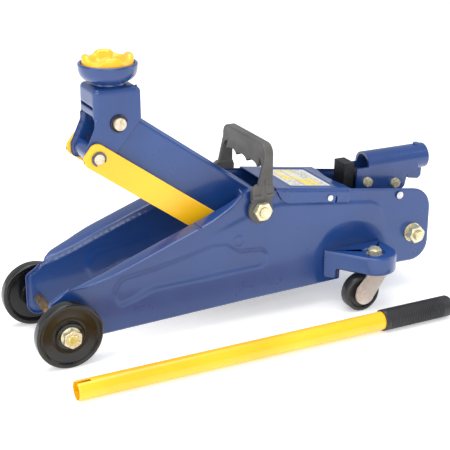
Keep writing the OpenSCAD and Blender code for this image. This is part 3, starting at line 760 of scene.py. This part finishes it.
nuts("front_nuts_machined", M["zinc"], "frame", "front_axle_nuts", [((0, s * (FACE + 0.5), WR), "y" if s > 0 else "-y") for s in (-1, 1)], 16.5, 5.05, 6.6, math.radians(24))
nuts("shaft_nuts_machined", M["zinc"], "frame", "lift_arm_shaft_nuts", [((PA[0], s * 44.7, PA[1]), "y" if s > 0 else "-y") for s in (-1, 1)], 17, 5.05, 6.2, math.radians(0))
nuts("rear_nuts_machined", M["zinc"], "frame", "rear_tie_nuts", [((PT[0], s * 41.3, PT[1]), "y" if s > 0 else "-y") for s in (-1, 1)], 17, 5.05, 9.0, math.radians(12))
kp = []
for s in (-1, 1):
    V, F = radial(hex_nut(13, 5.05, 6.2, 0.2), (KP[0], s * KP[1], 59.3), "z", 72, 0.2)
    kp.append((V, F))
    V, F = radial([(5.2, 0.0), (5.2, 1.3), (8.7, 1.3), (9.0, 1.0), (9.0, 0.2), (8.8, 0.0)], (KP[0], s * KP[1], 58.05), "z", 72)
    kp.append((V, F))
V, F, _ = merge(kp)
piece("kingpin_nuts_machined", V, F, M["zinc"], "frame", ("caster_kingpin_nuts",), smooth=24)

# ------------------------------------------------------------------ saddle cup and pad
def cup_profile():
    return profile_cleanup([(8.15, 0.1), (16.6, 0.1), (17.0, 0.6), (16.4, 2.0), (17.6, 3.2), (20.5, 4.2), (23.6, 5.6), (25.8, 7.8), (27.2, 11.0), (27.9, 14.5)]
                           + arc((26.55, 18.6), 1.65, -10, 190, 10) + [(24.9, 17.2), (24.6, 14.6), (23.6, 11.0), (20, 8.2), (8.15, 7.7)])


V, F = radial(cup_profile(), (CUP_X, 0, HEAD_TOP), "z", 120)
piece("saddle_cup_turned", V, F, M["blue"], "head", ("saddle_cup",), smooth=40)


def lobe_h(t):
    """Height of the crown rim around the pad: four raised lobes."""
    c = math.cos(4 * (t - math.radians(-10)))
    return 23.6 + 4.4 * (1 / (1 + math.exp(-5.0 * c)))


def pad_mesh():
    ro = 24.4
    rings = [(7.9, -6.9), (7.9, 8.0), (20.5, 8.6), (22.6, 10.2), (23.6, 13.0), (ro, 17.0)]
    rings += [(ro, lambda t: lobe_h(t) - 3.6), (lambda t: ro - 0.35, lambda t: lobe_h(t) - 1.8), (lambda t: ro - 1.1, lambda t: lobe_h(t) - 0.7),
              (lambda t: ro - 2.4, lambda t: lobe_h(t)), (lambda t: ro - 4.6, lambda t: lobe_h(t) + 0.1),
              (lambda t: ro - 6.2, lambda t: lobe_h(t) - 0.7), (lambda t: ro - 7.4, lambda t: lobe_h(t) - 2.2), (lambda t: 15.4, lambda t: min(lobe_h(t) - 4.6, 21.6)), (13.2, 19.2), (12.0, 18.6), (3.0, 18.4)]
    return radial(rings, (CUP_X, 0, HEAD_TOP), "z", 144, closed=False)


V, F = pad_mesh()
piece("saddle_pad_cast", V, F, M["yellow"], "saddle_pad", ("saddle_pad",), smooth=50)

# ------------------------------------------------------------------ head bracket: folded sheet with rounded bends
HEAD = rounded([(PC[0] - 23.5, HEAD_TOP, 5), (PC[0] + 22.5, HEAD_TOP, 6), (PC[0] + 23, PC[1] + 1.5, 4), (PD[0] + 20, PD[1] + 0.5, 7),
                (PD[0] + 9, PD[1] - 8.5, 4), (PD[0], PD[1] - 11, 5), (PD[0] - 11, PD[1] - 9, 7), (PD[0] - 11, PD[1] + 5, 3), (PC[0] - 23.5, PC[1] - 2, 8)], 6)


def head_R(p):
    if p[1] > HEAD_TOP - 27 and p[0] < PC[0] + 19 and (p[0] < PC[0] - 21 or p[1] > HEAD_TOP - 1.5):
        return 4.4
    return 1.0


def head_fl(p):
    return (p[1] > HEAD_TOP - 27 and p[0] < PC[0] - 18) or (p[1] > HEAD_TOP - 1.2 and p[0] < PC[0] + 19)


h1 = pressed(HEAD, head_R, 3, 20.5, flanges=[(head_fl, 0.0)], grid=3.0, step=1.6)
h2 = mirrored(h1)
tube = radial([(8.5, -17.4), (8.5, 17.4)], (PD[0], 0, PD[1]), "y", 48, closed=False)
V, F, _ = merge([h1, h2])
ob = piece("head_bracket_folded", V, F, M["blue"], "head", ("head_bracket",), smooth=60, solid=2.6)
me = ob.data
bm = bmesh.new()
bm.from_mesh(me)
bmesh.ops.remove_doubles(bm, verts=bm.verts, dist=5e-6)
bmesh.ops.recalc_face_normals(bm, faces=bm.faces)
acc = sum(f.normal.y * (1 if f.calc_center_median().y > 0.021 else -1) * f.calc_area() for f in bm.faces if abs(f.normal.y) > 0.8)
if acc < 0:
    bmesh.ops.reverse_faces(bm, faces=bm.faces)
bm.to_mesh(me)
bm.free()
me.shade_smooth()
V, F = tube
piece("head_cross_tube", V, F, M["blue"], "head", (), smooth=40)

# ------------------------------------------------------------------ lift arm: folded channel, in the arm's own frame
EL = (-32 * math.sin(math.radians(17.5)) * math.cos(ARM_A) + 32 * math.cos(math.radians(17.5)) * math.sin(ARM_A),
      -32 * math.sin(math.radians(17.5)) * math.sin(ARM_A) - 32 * math.cos(math.radians(17.5)) * math.cos(ARM_A))


def hull(P):
    P = sorted(set((round(p[0], 4), round(p[1], 4)) for p in P))

    def half(pts):
        h = []
        for p in pts:
            while len(h) > 1 and (h[-1][0] - h[-2][0]) * (p[1] - h[-2][1]) - (h[-1][1] - h[-2][1]) * (p[0] - h[-2][0]) <= 0:
                h.pop()
            h.append(p)
        return h
    a, b = half(P), half(P[::-1])
    return a[:-1] + b[:-1]


def arm_outline():
    nose = [(-ARM + 15 * math.cos(math.radians(a)), 15 * math.sin(math.radians(a))) for a in range(90, 271, 10)]
    back = [(-ARM + 23, -30), (-22, -30), (0, -37)]
    lob = [(EL[0] + 11 * math.cos(math.radians(a)), EL[1] + 11 * math.sin(math.radians(a))) for a in range(-100, 31, 15)]
    hub = [(19 * math.cos(math.radians(a)), 19 * math.sin(math.radians(a))) for a in range(-20, 61, 10)]
    return ccw(nose + back + lob + hub + [(2, 15.2)])


def arm_R(p):
    return 4.6 if p[1] > 13.5 and p[0] < 0 else 1.2


def arm_fl(p):
    return p[1] > 14.6 and -ARM + 2 <= p[0] < 1


a1 = pressed(arm_outline(), arm_R, 3, 17.2, flanges=[(arm_fl, 0.0)], grid=4.0, step=3.0)


def arm_to_world(part):
    V = []
    c, s = math.cos(ARM_A), math.sin(ARM_A)
    for x, y, z in part[0]:
        V.append((PA[0] + x * c + z * s, y, PA[1] - x * s + z * c))
    return (V, part[1])


V, F, _ = merge([arm_to_world(a1), arm_to_world(mirrored(a1))])
ob = piece("lift_arm_folded", V, F, M["blue"], "lift_arm", ("lift_arm",), smooth=60, solid=3.2)
me = ob.data
bm = bmesh.new()
bm.from_mesh(me)
bmesh.ops.remove_doubles(bm, verts=bm.verts, dist=5e-6)
bmesh.ops.recalc_face_normals(bm, faces=bm.faces)
acc = sum(f.normal.y * (1 if f.calc_center_median().y > 0.021 else -1) * f.calc_area() for f in bm.faces if abs(f.normal.y) > 0.8)
if acc < 0:
    bmesh.ops.reverse_faces(bm, faces=bm.faces)
bm.to_mesh(me)
bm.free()
me.shade_smooth()
hub = radial([(10.2, -35.8), (15.2, -35.8), (16.0, -35.0), (16.0, 35.0), (15.2, 35.8), (10.2, 35.8)], (PA[0], 0, PA[1]), "y", 64)
cross = arm_to_world(prism_y([(-140, -30), (-140, -26.8), (-60, -26.8), (-60, -30)], -14.5, 14.5))
V, F, _ = merge([hub, cross])
piece("lift_arm_hub", V, F, M["blue"], "lift_arm", (), smooth=35)

# ------------------------------------------------------------------ carrying handle
HG, HT = 171.5, 189.5


def handle_front():
    """Front outline of the grip and legs (y, z): rounded shoulders, three finger scallops below."""
    pts = [(-46.6, PA[1] + 20)]
    pts += arc((-46.6 + 11, HT - 11), 11, 180, 90, 8)
    pts += arc((46.6 - 11, HT - 11), 11, 90, 0, 8)
    pts += [(46.6, PA[1] + 20), (41.4, PA[1] + 20)]
    pts += arc((41.4 - 7, HG - 5.5), 7, 0, 88, 7)
    pts += [(34.4 - 0.4, HG - 6)]
    for c in (22.5, 0, -22.5):
        for k in range(1, 12):
            a = math.pi * k / 12
            pts.append((c + 11.0 * math.cos(a), HG - 8.5 + 4.6 * math.sin(a)))
    pts += [(-34.4 + 0.4, HG - 6)]
    pts += arc((-41.4 + 7, HG - 5.5), 7, 92, 180, 7)
    pts += [(-41.4, PA[1] + 20)]
    return pts


def handle_taper(V):
    """The front face leans back, so that the bar is 10 mm deep and the legs widen to 16 mm at the foot."""
    x1 = PA[0] + 11.5
    out = []
    for x, y, z in V:
        f = min(1.0, max(0.0, (z - (PA[1] + 28)) / (HT - 14 - PA[1] - 28)))
        w = 16.0 - 6.0 * f
        if abs(y) < 36 and HG - 30 < z < HG - 0.5:
            # the underside rises towards the back, which clears the cover when the handle is folded
            z += 2.8 * min(1.0, max(0.0, (x - (x1 - 10)) / 10)) * min(1.0, (HG - 0.5 - z) / 4)
        out.append((x1 - (x1 - x) * w / 16.0, y, z))
    return out


x0 = PA[0] - 4.5
hv, hf = slab(handle_front(), 1.7, x0, x0 + 16, "YZ", grid=3.0, step=1.2)
parts = [(handle_taper(hv), hf)]
for s in (-1, 1):
    foot = rounded([(PA[0] - 9, PA[1] + 6, 0), (PA[0] - 11.5, PA[1] + 11, 2), (PA[0] - 11.5, PA[1] + 23.5, 2), (PA[0] - 6.0, PA[1] + 27.5, 2),
                    (PA[0] + 11.2, PA[1] + 27.5, 2), (PA[0] + 13, PA[1] + 22.5, 2), (PA[0] + 12.5, PA[1] + 11, 2), (PA[0] + 9, PA[1] + 6, 0)], 4)
    y = sorted((s * 41.0, s * 44.4))
    parts.append(slab(foot, 0.8, y[0], y[1], "XZ", grid=4.0))
    upper = rounded([(PA[0] - 11.5, PA[1] + 12.5, 1), (PA[0] - 11.5, PA[1] + 23.5, 2), (PA[0] - 6.0, PA[1] + 27.5, 2),
                     (PA[0] + 11.2, PA[1] + 27.5, 2), (PA[0] + 13, PA[1] + 22.5, 2), (PA[0] + 12.5, PA[1] + 12.5, 1)], 4)
    y = sorted((s * 43.5, s * 47.0))
    parts.append(slab(upper, 0.9, y[0], y[1], "XZ", grid=4.0))
    y = sorted((s * 46.2, s * 48.3))
    for xa, xb in ((PA[0] - 11.2, PA[0] - 2.2), (PA[0] + 3.2, PA[0] + 12.4)):
        parts.append(slab([(xa, PA[1] + 14.6), (xa, PA[1] + 17.4), (xb, PA[1] + 17.4), (xb, PA[1] + 14.6)], 0.6, y[0], y[1], "XZ", grid=3.0))
    for xa in (PA[0] - 2.4, PA[0] + 2.4):
        parts.append(slab([(xa, PA[1] + 13.6), (xa, PA[1] + 33), (xa + 1.3, PA[1] + 33), (xa + 1.3, PA[1] + 13.6)], 0.5, sorted((s * 46.0, s * 47.6))[0], sorted((s * 46.0, s * 47.6))[1], "XZ", grid=3.0))
    rings = [(5.1, 0.3), (5.1, 5.2), (12.4, 5.2), (13.2, 4.8), (13.6, 4.0), (13.6, 1.0), (13.1, 0.3)]
    parts.append(radial(rings, (PA[0], s * 39.3, PA[1]), "y" if s > 0 else "-y", 64))
V, F, _ = merge(parts)
piece("carry_handle_moulded", V, F, M["grey"], "carry_handle", ("carry_handle",), smooth=40)

# ------------------------------------------------------------------ top cover and label, in the cover's own frame
def cov_world(V):
    c, s = math.cos(TILT), math.sin(TILT)
    z0 = TOP_Z + 1.2 / math.cos(TILT)
    return [(x * c + z * s, y, z0 - x * s + z * c) for x, y, z in V]


HALF = 40.9
front = [(230.4, -HALF), ]
rear = []
for k in range(0, 29):
    yy = -HALF + 2 * HALF * k / 28
    rear.append((392 - math.sqrt(max(0, 76 ** 2 - yy ** 2)) if abs(yy) < 76 else 320.4, yy))
rear = [(min(x, 320.4), y) for x, y in rear]
cov_out = [(230.4, HALF)] + [(230.4, -HALF)] + rear


def cov_R(p):
    return 2.6 if abs(p[1]) > HALF - 0.05 else 0.9


def cov_h(Q):
    """The frame pressed up around the label, and the label's flat pocket."""
    x = np.abs(Q[:, 0] - 278.2) - 25.2
    y = np.abs(Q[:, 1]) - 30.0
    d = np.maximum(x, y)
    bead = np.exp(-((d - 2.4) / 1.6) ** 2) * 0.75
    pocket = -0.75 / (1 + np.exp(np.clip(d / 0.45, -40, 40)))
    return bead + pocket


# pressed() works in an X-Z plane with the sheet's outside towards +y: here that is the cover's (x', y) plane, outside up
cv = pressed(cov_out, cov_R, 1.2, 0.0, flanges=[(lambda p: False, 0)], grid=1.8, step=1.8, height=cov_h)
Vc = [(x, z, y) for x, y, z in cv[0]]
Fc = [tuple(f) for f in cv[1]]


def z_bot(x):
    pts = [(230.4, -3.2), (232.5, -3.6), (236.0, -9.0), (240.5, -13.6), (246.0, -15.6), (252, -16), (302.6, -16), (303.2, -8.2), (304.8, -8.2), (305.4, -16), (319.4, -16), (320.4, -15)]
    for (a, b), (c, d) in zip(pts, pts[1:]):
        if x <= c:
            return b + (d - b) * (x - a) / (c - a)
    return -15.0


xs = sorted(set([230.4, 231, 232.5, 234, 236, 238, 240.5, 243, 246, 249, 252, 302.6, 303.2, 304.0, 304.8, 305.4, 319.4, 320.4] + [252 + 2.2 * k for k in range(1, 31) if 252 + 2.2 * k < 320]))
for s in (-1, 1):
    off = len(Vc)
    rows = 8
    for x in xs:
        zb = z_bot(x)
        for r in range(rows + 1):
            z = -2.6 + (zb + 2.6) * r / rows
            dim = 0.0
            for cx in (253.5, 312.3):
                dim += 0.9 * math.exp(-((x - cx) ** 2 + (z + 11.0) ** 2) / 3.0)
            Vc.append((x, s * (HALF - dim), z))
    for i in range(len(xs) - 1):
        for r in range(rows):
            a = off + i * (rows + 1) + r
            q = (a, a + 1, a + rows + 2, a + rows + 1)
            Fc.append(q)
ob = piece("top_cover_pressed", cov_world(Vc), Fc, M["blue"], "frame", ("top_cover",), smooth=60, solid=1.1)
me = ob.data
bm = bmesh.new()
bm.from_mesh(me)
bmesh.ops.remove_doubles(bm, verts=bm.verts, dist=3e-5)
bmesh.ops.recalc_face_normals(bm, faces=bm.faces)
acc = sum(f.normal.z * f.calc_area() for f in bm.faces if abs(f.normal.z) > 0.8)
if acc < 0:
    bmesh.ops.reverse_faces(bm, faces=bm.faces)
bm.to_mesh(me)
bm.free()
me.shade_smooth()
# the label is a thin sheet cut into small cells, so that its generic bands and rows are part of its mesh
rng = np.random.RandomState(7)
LX0, LX1, LY0, LY1, CELL = 254.0, 302.6, -29.0, 29.0, 0.54
nx, ny = int((LX1 - LX0) / CELL), int((LY1 - LY0) / CELL)
lv = [(LX0 + (LX1 - LX0) * i / nx, LY0 + (LY1 - LY0) * j / ny, -0.45) for i in range(nx + 1) for j in range(ny + 1)]
lf, lm = [], []
dash = rng.rand(nx + 1, ny + 1)
for i in range(nx):
    for j in range(ny):
        a = i * (ny + 1) + j
        lf.append((a, a + ny + 1, a + ny + 2, a + 1))
        u, v = (i + 0.5) * CELL, (j + 0.5) * CELL
        k = 0
        sl = u + 0.5 * v
        if 3 < u < 45 and 2 < v < 56:
            if 6 <= u < 17 and (sl % 19) < 11 and v > 22:
                k = 1
            if 19 <= u < 29 and ((sl + 5) % 27) < 15:
                k = 1
            if 31 <= u < 38 and v < 26:
                k = 1
            row = int(u / 1.1) % 2 == 0
            if row and k == 0 and dash[int(u / 2.2), int(v / 2.2)] > 0.34 and (31 <= u < 43 or u < 6 or v < 20):
                k = 2
            if 17.4 <= u < 18.4 or 29.6 <= u < 30.4:
                k = 2
        lm.append(k)
n0 = len(lv)
rim = [i * (ny + 1) for i in range(nx + 1)] + [nx * (ny + 1) + j for j in range(1, ny + 1)] + [i * (ny + 1) + ny for i in range(nx - 1, -1, -1)] + [j for j in range(ny - 1, 0, -1)]
lv += [(lv[i][0], lv[i][1], -0.8) for i in rim]
m_ = len(rim)
lf += [(rim[i], n0 + i, n0 + (i + 1) % m_, rim[(i + 1) % m_]) for i in range(m_)]
lm += [0] * m_
lf.append(tuple(range(n0, n0 + m_)))
lm.append(0)
piece("cover_label_printed", cov_world(lv), lf, [M["label"], M["label_yellow"], M["label_grey"]], "frame", ("cover_label",), smooth=30, fmats=lm, fix=False)

# ------------------------------------------------------------------ loose pump handle
HX0, HY, TR, GR, HL, GL = -17.0, -118.0, 9.4, 11.0, 411.0, 84.0
LAY = math.asin((GR - TR) / (HL - GL))


def handle_world(V):
    c, s = math.cos(-LAY), math.sin(-LAY)
    return [(HX0 + x * c + z * s, HY + y, TR - x * s + z * c) for x, y, z in V]


def tube_mesh():
    """The tube: rolled open end with a slot, and a small drilled dimple near it."""
    n = 96
    xs = [0.0, 0.5, 1.2] + [2.4 + 1.6 * k for k in range(8)] + [16.5, 22, 28, 31, 32.5, 33.6, 34.4, 35.2, 36, 36.8, 37.6, 38.4, 39.5, 41, 44, 50] + list(np.linspace(60, HL - GL + 6, 40))
    V, F = [], []
    for x in xs:
        rr = TR if x > 1.0 else TR - (1.0 - x) * 0.5
        for i in range(n):
            t = 2 * math.pi * i / n
            d = 0.0
            if 30 < x < 42:
                da = ((t - math.radians(232)) + math.pi) % (2 * math.pi) - math.pi
                q = ((x - 36.0) / 1.7) ** 2 + (da * TR / 1.7) ** 2
                d = 1.3 * math.exp(-q * q)
            V.append((x, (rr - d) * math.cos(t), (rr - d) * math.sin(t)))
    m = len(xs)
    for k in range(m - 1):
        for i in range(n):
            t = 2 * math.pi * (i + 0.5) / n
            da = ((t - math.radians(100)) + math.pi) % (2 * math.pi) - math.pi
            if xs[k + 1] < 13.7 and abs(da) < 0.17:
                continue
            a, b = k * n, (k + 1) * n
            F.append((a + i, b + i, b + (i + 1) % n, a + (i + 1) % n))
    return V, F


V, F = tube_mesh()
ob = piece("pump_handle_tube_rolled", handle_world(V), F, M["yellow"], "pump_handle", ("pump_handle_tube",), smooth=50, solid=1.6)


def grip_mesh():
    """Ribbed vinyl sleeve with a smooth collar and a closed round end."""
    a, b = HL - GL, HL
    rings = [(TR - 0.4, a + 0.5), (TR + 0.5, a), (GR - 0.5, a + 0.15), (GR, a + 0.8), (GR, a + 5.0)]
    x = a + 6.0
    pitch = 2.1
    while x + pitch < b - 11:
        rings += [(GR, x), (GR - 0.15, x + 0.25), (GR - 0.75, x + 0.5), (GR - 0.75, x + 0.95), (GR - 0.15, x + 1.2), (GR, x + 1.45)]
        x += pitch
    rings += [(GR, x + 1.0)]
    rings += arc((0, 0), 1, 0, 1, 1)[:0]
    for k in range(9):
        t = math.pi / 2 * k / 8
        rings.append((GR - 4.0 + 4.0 * math.cos(t), b - 4.0 + 4.0 * math.sin(t)))
    rings += [(3.0, b), (0.6, b)]
    return radial(rings, (0, 0, 0), "x", 72, closed=False)


V, F = grip_mesh()
piece("pump_handle_grip_ribbed", handle_world(V), F, M["vinyl"], "pump_handle", ("pump_handle_grip",), smooth=45)

# ------------------------------------------------------------------ stage, light, camera
def floor():
    me = bpy.data.meshes.new("floor")
    s = 6.0
    me.from_pydata([(-s, -s, 0), (s, -s, 0), (s, s, 0), (-s, s, 0)], [], [(0, 1, 2, 3)])
    ob = bpy.data.objects.new("floor", me)
    bpy.context.scene.collection.objects.link(ob)
    m = Mat("pale_floor")
    m.set(Base_Color=(0.95, 0.95, 0.95, 1), Roughness=0.7, Specular_IOR_Level=0.2, Emission_Color=(1.0, 1.0, 1.0, 1), Emission_Strength=0.3)
    me.materials.append(m.m)
    return ob


floor()
world = bpy.data.worlds.new("studio")
bpy.context.scene.world = world
world.use_nodes = True
bg = world.node_tree.nodes["Background"]
bg.inputs[0].default_value = (0.95, 0.97, 1.0, 1)
bg.inputs[1].default_value = 0.62
wt = world.node_tree
sky = wt.nodes.new("ShaderNodeBackground")
sky.inputs[0].default_value = (1.0, 1.0, 1.0, 1)
sky.inputs[1].default_value = 1.0
lp = wt.nodes.new("ShaderNodeLightPath")
mx = wt.nodes.new("ShaderNodeMixShader")
wt.links.new(lp.outputs["Is Camera Ray"], mx.inputs[0])
wt.links.new(bg.outputs[0], mx.inputs[1])
wt.links.new(sky.outputs[0], mx.inputs[2])
wt.links.new(mx.outputs[0], wt.nodes["World Output"].inputs["Surface"])


def area(name, loc, target, size, power, color=(1, 1, 1)):
    d = bpy.data.lights.new(name, "AREA")
    d.shape = "RECTANGLE"
    d.size, d.size_y = size
    d.energy = power
    d.color = color
    ob = bpy.data.objects.new(name, d)
    ob.location = loc
    ob.rotation_mode = "QUATERNION"
    ob.rotation_quaternion = (Vector(target) - Vector(loc)).to_track_quat("-Z", "Y")
    bpy.context.scene.collection.objects.link(ob)
    return ob


area("key_top", (-0.15, 0.1, 1.5), (0, 0, 0.1), (1.5, 1.1), 17)
area("fill_front", (-0.55, -1.5, 0.85), (0, 0, 0.1), (1.3, 0.8), 11, (1.0, 0.995, 0.99))
area("fill_left", (-1.5, -0.3, 0.6), (0, 0, 0.12), (0.8, 0.8), 6, (1.0, 0.99, 0.98))
area("rim_right", (1.3, -0.4, 0.7), (0, 0, 0.12), (0.7, 0.8), 4, (0.98, 0.99, 1.0))

cam_data = bpy.data.cameras.new("camera")
cam = bpy.data.objects.new("camera", cam_data)
bpy.context.scene.collection.objects.link(cam)
YAW, PITCH, ROLL = 0.467881676, 0.367515357, -0.00861444158
fwd = Vector((math.sin(YAW) * math.cos(PITCH), math.cos(YAW) * math.cos(PITCH), -math.sin(PITCH)))
right = Vector((math.cos(YAW), -math.sin(YAW), 0))
down = fwd.cross(right)
r2 = math.cos(ROLL) * right + math.sin(ROLL) * down
d2 = -math.sin(ROLL) * right + math.cos(ROLL) * down
loc = Vector((-0.308651178 - 0.2005, -0.988444203 + 0.021, 0.520000417))
mw = Matrix((
    (r2.x, -d2.x, -fwd.x, loc.x),
    (r2.y, -d2.y, -fwd.y, loc.y),
    (r2.z, -d2.z, -fwd.z, loc.z),
    (0, 0, 0, 1)))
cam.matrix_world = mw
cam_data.sensor_width = 36
cam_data.lens = 91.953
cam_data.clip_start, cam_data.clip_end = 0.01, 50
bpy.context.scene.camera = cam
bpy.context.scene.view_settings.view_transform = "Standard"
